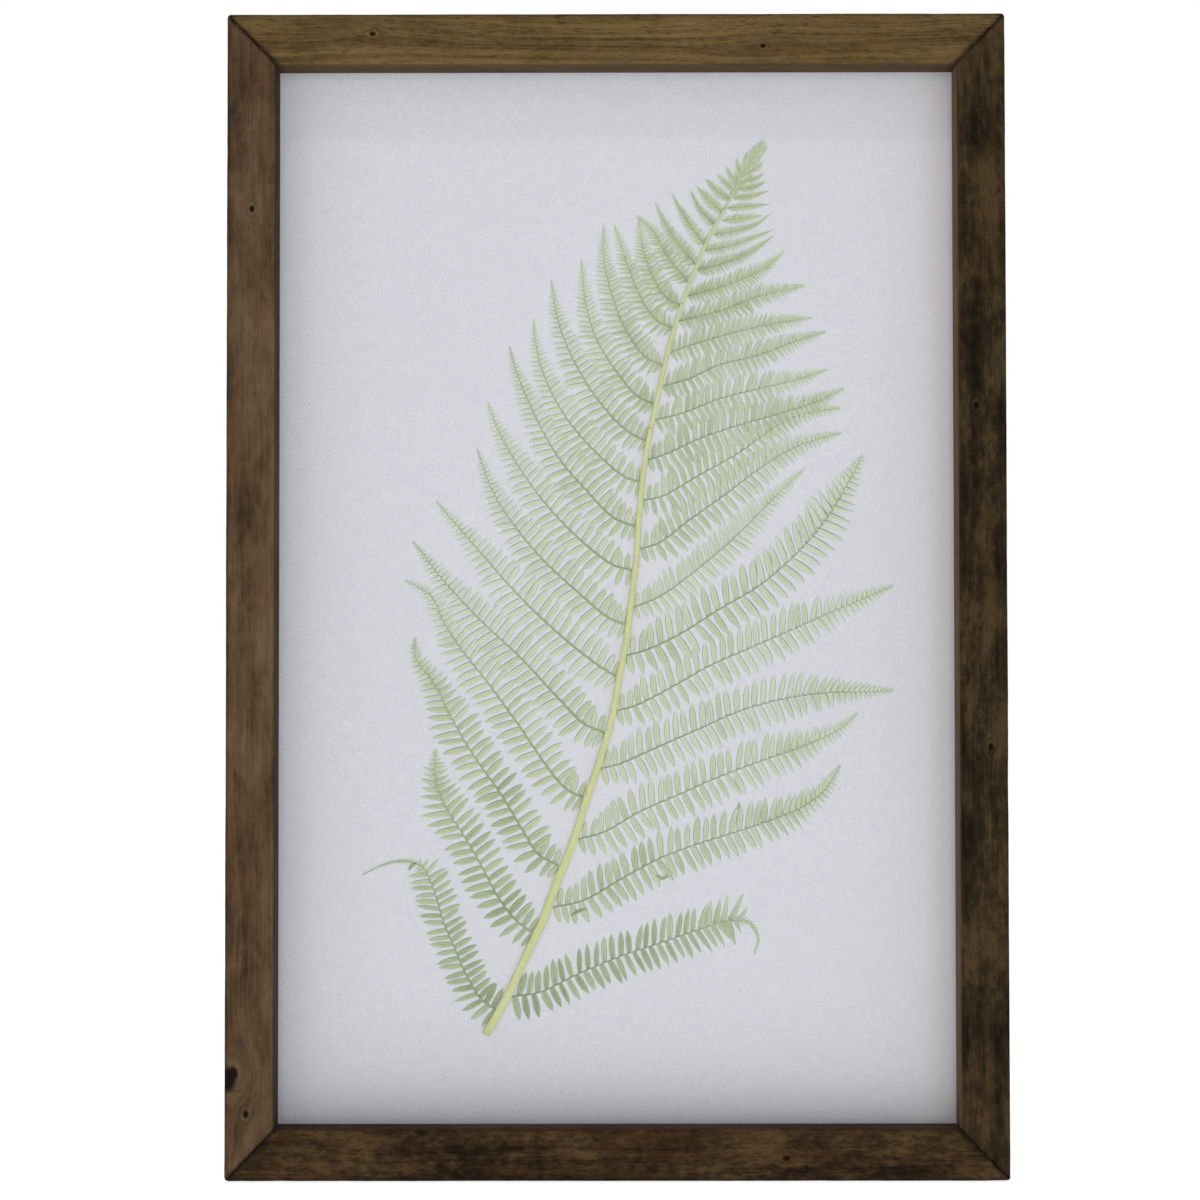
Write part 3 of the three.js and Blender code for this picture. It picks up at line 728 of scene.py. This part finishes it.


# Each rail's stain and knots: place along the rail, place across it from the outer edge, radius, in mm
# Painted light and shade: wall is the colour painted on each rail's inner wall, lit on the right stile and
# shaded on the others; edge is the strength of the painted shade on the outer front edge.
RAIL_LOOKS = {
    "rail_top": {
        "dark": (68, 53, 31), "mid": (103, 83, 51), "light": (121, 99, 61), "streak": (115, 83, 46),
        "wall": (72, 58, 38), "edge": 0.25, "seed": 3.1,
        "rings": 0.75, "patch": 0.4, "mottle": 0.3, "streaks": 0.35, "fleck": 0.45,
        "knots": [(-96, 8, 1.4), (58, 13, 1.2)],
    },
    "stile_left": {
        "dark": (62, 46, 33), "mid": (91, 71, 50), "light": (111, 90, 66), "streak": (102, 70, 48),
        "wall": (52, 42, 32), "edge": 0.4, "seed": 11.7,
        "rings": 0.3, "patch": 0.9, "mottle": 0.3, "streaks": 0.4, "fleck": 0.2,
        "knots": [(152, 10, 1.4), (-189.5, 1.2, 5.2), (-187.2, 3.4, 3.0), (-203, 8.5, 1.6)],
    },
    "stile_right": {
        "dark": (24, 17, 10), "mid": (46, 36, 22), "light": (74, 59, 37), "streak": (82, 58, 30),
        "wall": (104, 84, 62), "edge": 0.2, "seed": 23.4,
        "rings": 0.3, "patch": 1.0, "mottle": 0.55, "streaks": 0.3, "fleck": 0.3,
        "knots": [(74, 12, 1.6), (-60, 7, 1.4)],
    },
    "rail_bottom": {
        "dark": (32, 22, 12), "mid": (58, 43, 26), "light": (84, 65, 39), "streak": (82, 56, 28),
        "wall": (58, 40, 32), "edge": 0.8, "seed": 37.9,
        "rings": 0.45, "patch": 0.8, "mottle": 0.7, "streaks": 0.35, "fleck": 0.45,
        "knots": [(66, 9, 1.6)],
    },
}
SEAM_AND_EDGE_SHADE_COLOUR = (20, 15, 10)
KNOT_DEEPENING = 0.2
FLECK_DEEPENING = 0.5


def darker(colour, share):
    return srgb(*[c * share for c in colour])


def knot_fields(n, knots, along, inward, y):
    """How far knots bend the grain, their dark centres, and the rings round them."""
    deep = n.math("MULTIPLY", n.math("SUBTRACT", y, FRONT_Y), 0.5)
    warp, centres, halos = 0.0, 0.0, 0.0
    for at, across, radius in knots:
        da = n.math("SUBTRACT", along, at * MM)
        dc = n.math("SUBTRACT", inward, across * MM)
        squares = n.add_all(n.math("MULTIPLY", n.math("MULTIPLY", da, da), 0.5),
                            n.math("MULTIPLY", dc, dc), n.math("MULTIPLY", deep, deep))
        near = n.math("DIVIDE", n.math("SQRT", squares), radius * MM)
        falloff = n.math("EXPONENT", n.math("MULTIPLY", n.math("MULTIPLY", near, near), -0.22))
        warp = n.math("ADD", warp, n.math("MULTIPLY", falloff, n.math("MULTIPLY", dc, 0.9)))
        centres = n.math("MAXIMUM", centres, n.ramp(near, (0.45, 1.0), (0.85, 0.0)))
        halo = n.math("MULTIPLY", n.math("SINE", n.math("MULTIPLY", near, 5.0)), falloff)
        halos = n.math("ADD", halos, halo)
    return warp, centres, halos


def add_seams_and_painted_light_and_shade(n, stain, look, upright, along, inward, y, mottle):
    """Dark mitre seam, painted shade along the outer front edge, and painted light and shade on the inner
    wall that faces the glass.
    """
    half_long = HALF_HEIGHT if upright else HALF_WIDTH
    uneven = n.swing(mottle, 2.0 * MM)
    from_end = n.math("SUBTRACT", half_long, n.math("ABSOLUTE", along))
    seam = n.math("ADD", n.math("ABSOLUTE", n.math("SUBTRACT", from_end, inward)), uneven)
    seam_dark = n.ramp(n.math("DIVIDE", seam, 2.4 * MM), (0.0, 0.95), (0.35, 0.5), (1.0, 0.0))
    stain = n.mix(seam_dark, stain, srgb(*SEAM_AND_EDGE_SHADE_COLOUR))
    # Painted shade: the outer front edge is darkened, most on the bottom rail, standing in for the shade on
    # its rounded arris.
    front = n.ramp(n.math("DIVIDE", n.math("SUBTRACT", y, FRONT_Y), 3 * MM), (0.2, 1.0), (1.0, 0.0))
    outer = n.ramp(n.math("DIVIDE", n.math("ADD", inward, n.math("MULTIPLY", uneven, 0.6)), 1.8 * MM),
                   (0.15, look["edge"]), (1.0, 0.0))
    stain = n.mix(n.math("MULTIPLY", front, outer), stain, srgb(*SEAM_AND_EDGE_SHADE_COLOUR))
    # Painted light and shade on the inner wall beside the opening.
    wall_start = (STILE_FACE if upright else RAIL_FACE) - 0.9 * MM
    wall = n.ramp(n.math("DIVIDE", n.math("SUBTRACT", inward, wall_start), 0.8 * MM),
                  (0.1, 0.0), (0.9, 0.8))
    return n.mix(wall, stain, srgb(*look["wall"]))


def rail_look(name, look):
    """Stained pine: mottled stain, long wavy rings, fine fibres, flecks, knots, dark mitre seams, painted
    shade on the outer edge and painted light and shade on the inner wall.
    """
    n = Nodes(f"stained_pine_{name}", Roughness=0.7, Specular_IOR_Level=0.08)
    x, y, z = n.split(n.object_place())
    upright = name.startswith("stile")
    along, flat = (z, x) if upright else (x, z)
    half_flat = HALF_WIDTH if upright else HALF_HEIGHT
    inward = n.math("SUBTRACT", half_flat, n.math("ABSOLUTE", flat))
    warp, centres, halos = knot_fields(n, look["knots"], along, inward, y)
    shifted = n.math("ADD", n.math("SUBTRACT", inward, warp), look["seed"])
    grain = n.join(along, shifted, n.math("ADD", y, look["seed"] * 0.37))
    slow = n.noise(n.scaled(grain, (7, 34, 34)), detail=2, roughness=0.6)
    ring_place = n.join(n.math("MULTIPLY", along, 0.05), n.math("ADD", shifted, n.swing(slow, 0.016)),
                        n.math("MULTIPLY", y, 0.35))
    rings = n.noise(n.scaled(ring_place, (60, 420, 420)), detail=2, roughness=0.65)
    fibre = n.noise(n.scaled(grain, (60, 1300, 1300)), detail=2, roughness=0.7)
    patch = n.noise(n.scaled(grain, (26, 70, 70)), detail=2, roughness=0.6)
    mottle = n.noise(n.scaled(grain, (210, 340, 340)), detail=2, roughness=0.72)
    fleck = n.noise(n.scaled(grain, (260, 1200, 1200)), detail=1, roughness=0.6)
    streak = n.noise(n.scaled(grain, (12, 200, 200), (0.3, 0.7, 0.1)), detail=2, roughness=0.65)
    level = n.add_all(0.5, n.swing(rings, look["rings"]), n.swing(patch, look["patch"]),
                      n.swing(mottle, look["mottle"]), n.swing(fibre, 0.28),
                      n.math("MULTIPLY", halos, -0.05))
    stain = n.ramp(level, (0.30, srgb(*look["dark"])), (0.5, srgb(*look["mid"])),
                   (0.70, srgb(*look["light"])))
    stain = n.mix(n.ramp(streak, (0.52, 0.0), (0.70, look["streaks"])), stain, srgb(*look["streak"]))
    stain = n.mix(n.ramp(fleck, (0.56, 0.0), (0.70, look["fleck"])), stain,
                  darker(look["dark"], FLECK_DEEPENING))
    stain = n.mix(n.math("MULTIPLY", centres, 0.96), stain, darker(look["dark"], KNOT_DEEPENING))
    n.colour(add_seams_and_painted_light_and_shade(n, stain, look, upright, along, inward, y, mottle))
    n.roughness(n.ramp(level, (0.3, 0.80), (0.7, 0.62)))
    relief = n.add_all(n.math("MULTIPLY", fibre, 0.5), n.math("MULTIPLY", rings, 0.6),
                       n.math("MULTIPLY", centres, -0.8))
    n.bump(relief, 0.55, 0.0006)
    return n.material


# The rails as worn mouldings

EDGE_RADIUS = 1.3 * MM
STILE_FACE = FACE_WIDTH - 0.5 * MM
RAIL_FACE = FACE_WIDTH + 0.5 * MM
MITRE_GAP = 0.26 * MM
MITRE_GAP_BEHIND = 0.02 * MM
MITRE_GAP_DEPTH = 5 * MM
CORNER_RADIUS = 2.2 * MM
CORNER_CUT = CORNER_RADIUS * (1 - math.sqrt(0.5))
STATION_STEP = 1.6 * MM
END_STOPS = [0.0, 0.15, 0.35, 0.65, 1.0, 1.4, 1.9, 2.6]
OPEN_KNOT_MM = 2.0
DEEPEST_HOLLOW = 1.6 * MM


def moulding_section(face):
    """Section points with outward normals: (inward, depth, normal inward, normal depth, wear)."""
    points = []

    def side(a, b, steps, normal, wear):
        for i in range(steps):
            share = i / steps
            points.append((a[0] + (b[0] - a[0]) * share, a[1] + (b[1] - a[1]) * share, *normal, wear))

    def corner(centre, start_angle, wear):
        for i in range(5):
            angle = math.radians(start_angle + 22.5 * i)
            c, s = math.cos(angle), math.sin(angle)
            points.append((centre[0] + EDGE_RADIUS * c, centre[1] + EDGE_RADIUS * s, c, s, wear))

    r = EDGE_RADIUS
    lip_back = FRONT_Y + LIP_DEPTH
    wall = face - RABBET_WIDTH
    side((0, BACK_Y), (0, FRONT_Y + r), 9, (-1, 0), 0.5)
    corner((r, FRONT_Y + r), 180, 1.0)
    side((r + MM, FRONT_Y), (face - r, FRONT_Y), 13, (0, -1), 0.6)
    corner((face - r, FRONT_Y + r), 270, 1.6)
    side((face, FRONT_Y + r + MM), (face, lip_back), 6, (1, 0), 0.5)
    points.append((face, lip_back, 1, 1, 0.0))
    points.append((wall, lip_back, 0, 0, 0.0))
    points.append((wall, BACK_Y, 1, 1, 0.0))
    return points


def wear_depth(place, seed, wear):
    """How far a surface point is worn in: slow waves, fine unevenness and a few small chips."""
    slow = noise.noise(place * 26 + Vector((seed, 0, 0)))
    fine = noise.noise(place * 210 + Vector((0, seed, 0)))
    chip = max(0.0, noise.noise(place * 95 + Vector((0, 0, seed))) - 0.38) * 2.4
    return (0.10 + 0.09 * slow + 0.05 * fine + 0.34 * chip * max(0.0, wear - 0.6)) * MM * wear


def knot_hollow(along, inward, knots):
    """Depth of the sunk centres of the open knots on the front face."""
    depth = 0.0
    for at, across, radius in knots:
        if radius < OPEN_KNOT_MM:
            continue
        distance = math.hypot((along - at * MM) * 0.7, inward - across * MM) / (radius * MM)
        depth += 0.55 * MM * math.exp(-(distance / 0.62) ** 2) * (radius / 3.0)
    return min(depth, DEEPEST_HOLLOW)


def rail_stops(half_long):
    """Places along a rail as shares from -1 to 1, closer together near the ends."""
    near = [stop * MM / half_long for stop in END_STOPS]
    count = int(2 * half_long / STATION_STEP)
    first, last = -1 + near[-1], 1 - near[-1]
    middle = [first + (last - first) * i / count for i in range(1, count)]
    return [-1 + share for share in near] + middle + [1 - share for share in reversed(near)]


def corner_inset(distance):
    """How far the rounded outer corner stands in from the side, at a distance from the rail's end."""
    reach = max(0.0, CORNER_RADIUS - max(distance, CORNER_CUT))
    return CORNER_RADIUS - math.sqrt(CORNER_RADIUS ** 2 - reach ** 2)


def mitre_length(half_long, inward, depth, slope, look):
    """Half length of the rail at a place in its section, with a slightly ragged seam in front."""
    front = max(0.0, 1 - (depth - FRONT_Y) / MITRE_GAP_DEPTH) * min(1.0, max(0.0, inward / MM - 1) / 3)
    ragged = 0.45 * MM * max(0.0, noise.noise(Vector((inward * 420, look["seed"], depth * 200))))
    gap = MITRE_GAP_BEHIND + (MITRE_GAP - MITRE_GAP_BEHIND + ragged) * min(1.0, front * 2)
    return half_long - max(inward, CORNER_CUT) * slope - gap / 2


def make_rail(name, look):
    upright = name.startswith("stile")
    face, other_face = (STILE_FACE, RAIL_FACE) if upright else (RAIL_FACE, STILE_FACE)
    section = moulding_section(face)
    count = len(section)
    half_long = HALF_HEIGHT if upright else HALF_WIDTH
    half_flat = HALF_WIDTH if upright else HALF_HEIGHT
    sign = -1 if name in ("stile_left", "rail_bottom") else 1
    vertices, faces = [], []
    stops = rail_stops(half_long)
    for i, share in enumerate(stops):
        for inward, depth, normal_in, normal_deep, wear in section:
            along = share * mitre_length(half_long, inward, depth, other_face / face, look)
            flat = sign * (half_flat - inward)
            place = Vector((flat, depth, along)) if upright else Vector((along, depth, flat))
            worn = wear_depth(place, look["seed"], wear) if wear else 0.0
            if normal_deep < -0.5:
                worn += knot_hollow(along, inward, look["knots"])
            inward_worn = max(inward - normal_in * worn, corner_inset(half_long - abs(along)))
            depth_worn = depth - normal_deep * worn
            flat = sign * (half_flat - inward_worn)
            vertices.append((flat, depth_worn, along) if upright else (along, depth_worn, flat))
        if i:
            faces.extend(ring_faces((i - 1) * count, i * count, count))
    faces.append(tuple(range(count))[::-1])
    faces.append(tuple(range((len(stops) - 1) * count, len(stops) * count)))
    if (sign > 0) == upright:
        faces = [loop[::-1] for loop in faces]
    piece = new_mesh(f"worn_{name}", vertices, faces)
    piece.data.set_sharp_from_angle(angle=math.radians(50))
    piece.data.materials.append(rail_look(name, look))
    finish_piece(piece, "stained_pine", name)


def dress(node, look):
    """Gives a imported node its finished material."""
    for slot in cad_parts[node].material_slots:
        slot.material = look


# Stage, camera and light

FLOOR_RADIUS = 6.0
FLOOR_SIDES = 96
FLOOR_GAP = 0.4 * MM
FLOOR_GLOW = 0.8
WORLD_LIGHT = 0.3
WORLD_SEEN = 1.0

# Name, direction from the middle of the sheet, distance and size in metres, power in watts, colour
LAMPS = [
    ("key", (-0.634, -1, 0.683), 1.9, 0.22, 1.0, (1.0, 0.98, 0.96)),
    ("high", (-0.25, -1, 1.51), 1.9, 0.12, 2.3, (1, 1, 1)),
    ("front", (0.05, -1, 0.2), 1.6, 0.4, 2.4, (1, 1, 1)),
    ("side", (0.5, -1, -0.05), 1.6, 0.5, 1.5, (1, 1, 1)),
]


def make_floor():
    """Pale round floor just under the frame's lower edge."""
    level = -HALF_HEIGHT - FLOOR_GAP
    vertices = [(0, 0, level)]
    for k in range(FLOOR_SIDES):
        angle = 2 * math.pi * k / FLOOR_SIDES
        vertices.append((FLOOR_RADIUS * math.cos(angle), FLOOR_RADIUS * math.sin(angle), level))
    faces = [(0, k + 1, (k + 1) % FLOOR_SIDES + 1) for k in range(FLOOR_SIDES)]
    floor = new_mesh("floor", vertices, faces, smooth=False)
    n = Nodes("pale_floor", Roughness=0.9, Emission_Strength=FLOOR_GLOW)
    n.shader.inputs["Base Color"].default_value = (0.82, 0.82, 0.82, 1)
    n.shader.inputs["Emission Color"].default_value = (1, 1, 1, 1)
    floor.data.materials.append(n.material)


def make_camera():
    camera_data = bpy.data.cameras.new("camera")
    camera_data.lens = CAMERA_LENS
    camera_data.sensor_width = 36
    camera_data.clip_end = 50
    camera = bpy.data.objects.new("camera", camera_data)
    bpy.context.collection.objects.link(camera)
    camera.location = (CAMERA_X, FRONT_Y - CAMERA_DISTANCE, CAMERA_Z)
    aim = Vector((AIM_X, FRONT_Y, AIM_Z)) - camera.location
    camera.rotation_euler = aim.to_track_quat("-Z", "Y").to_euler()
    camera.rotation_euler.rotate_axis("Z", CAMERA_ROLL)
    bpy.context.scene.camera = camera


def add_lamp(name, direction, distance, size, power, colour):
    """Square soft light aimed at the middle of the sheet, kept out of reflections."""
    data = bpy.data.lights.new(name, "AREA")
    data.size = size
    data.energy = power
    data.color = colour
    lamp = bpy.data.objects.new(name, data)
    bpy.context.collection.objects.link(lamp)
    lamp.visible_glossy = False
    lamp.visible_transmission = False
    lamp.location = Vector(direction).normalized() * distance
    lamp.rotation_euler = (-lamp.location).to_track_quat("-Z", "Y").to_euler()


def make_world():
    """White world that lights the frame less than it shows to the camera and in reflections."""
    world = bpy.data.worlds.new("studio")
    bpy.context.scene.world = world
    world.use_nodes = True
    tree = world.node_tree
    lighting = tree.nodes["Background"]
    seen = tree.nodes.new("ShaderNodeBackground")
    for background, strength in ((lighting, WORLD_LIGHT), (seen, WORLD_SEEN)):
        background.inputs["Color"].default_value = (1, 1, 1, 1)
        background.inputs["Strength"].default_value = strength
    path = tree.nodes.new("ShaderNodeLightPath")
    mixed = tree.nodes.new("ShaderNodeMixShader")
    either = tree.nodes.new("ShaderNodeMath")
    either.operation = "MAXIMUM"
    tree.links.new(path.outputs["Is Camera Ray"], either.inputs[0])
    tree.links.new(path.outputs["Is Glossy Ray"], either.inputs[1])
    tree.links.new(either.outputs[0], mixed.inputs[0])
    tree.links.new(lighting.outputs[0], mixed.inputs[1])
    tree.links.new(seen.outputs[0], mixed.inputs[2])
    tree.links.new(mixed.outputs[0], tree.nodes["World Output"].inputs["Surface"])


def make_light():
    make_world()
    for lamp in LAMPS:
        add_lamp(*lamp)
    bpy.context.scene.view_settings.view_transform = "Standard"
    bpy.context.scene.view_settings.look = "None"


make_camera()
make_light()
make_floor()

for rail_name, rail_settings in RAIL_LOOKS.items():
    make_rail(rail_name, rail_settings)

leaf_material = leaf_look()
make_rachis(stalk_look())
make_pinnae("left", -1, LEFT_PINNAE, LEFT_STYLE, LEFT_SHADES, LEFT_TAPERS, leaf_material)
make_pinnae("right", 1, RIGHT_PINNAE, RIGHT_STYLE, RIGHT_SHADES, RIGHT_TAPERS, leaf_material)
make_tip(leaf_material)

dress("mount_sheet", sheet_look())
dress("glass_pane", glass_look())
dress("backing_board", board_look())
steel = steel_look()
for number in range(1, 5):
    dress(f"retainer_tab_{number}", steel)
dress("sawtooth_hanger", steel)
felt = felt_look()
dress("wall_pad_left", felt)
dress("wall_pad_right", felt)
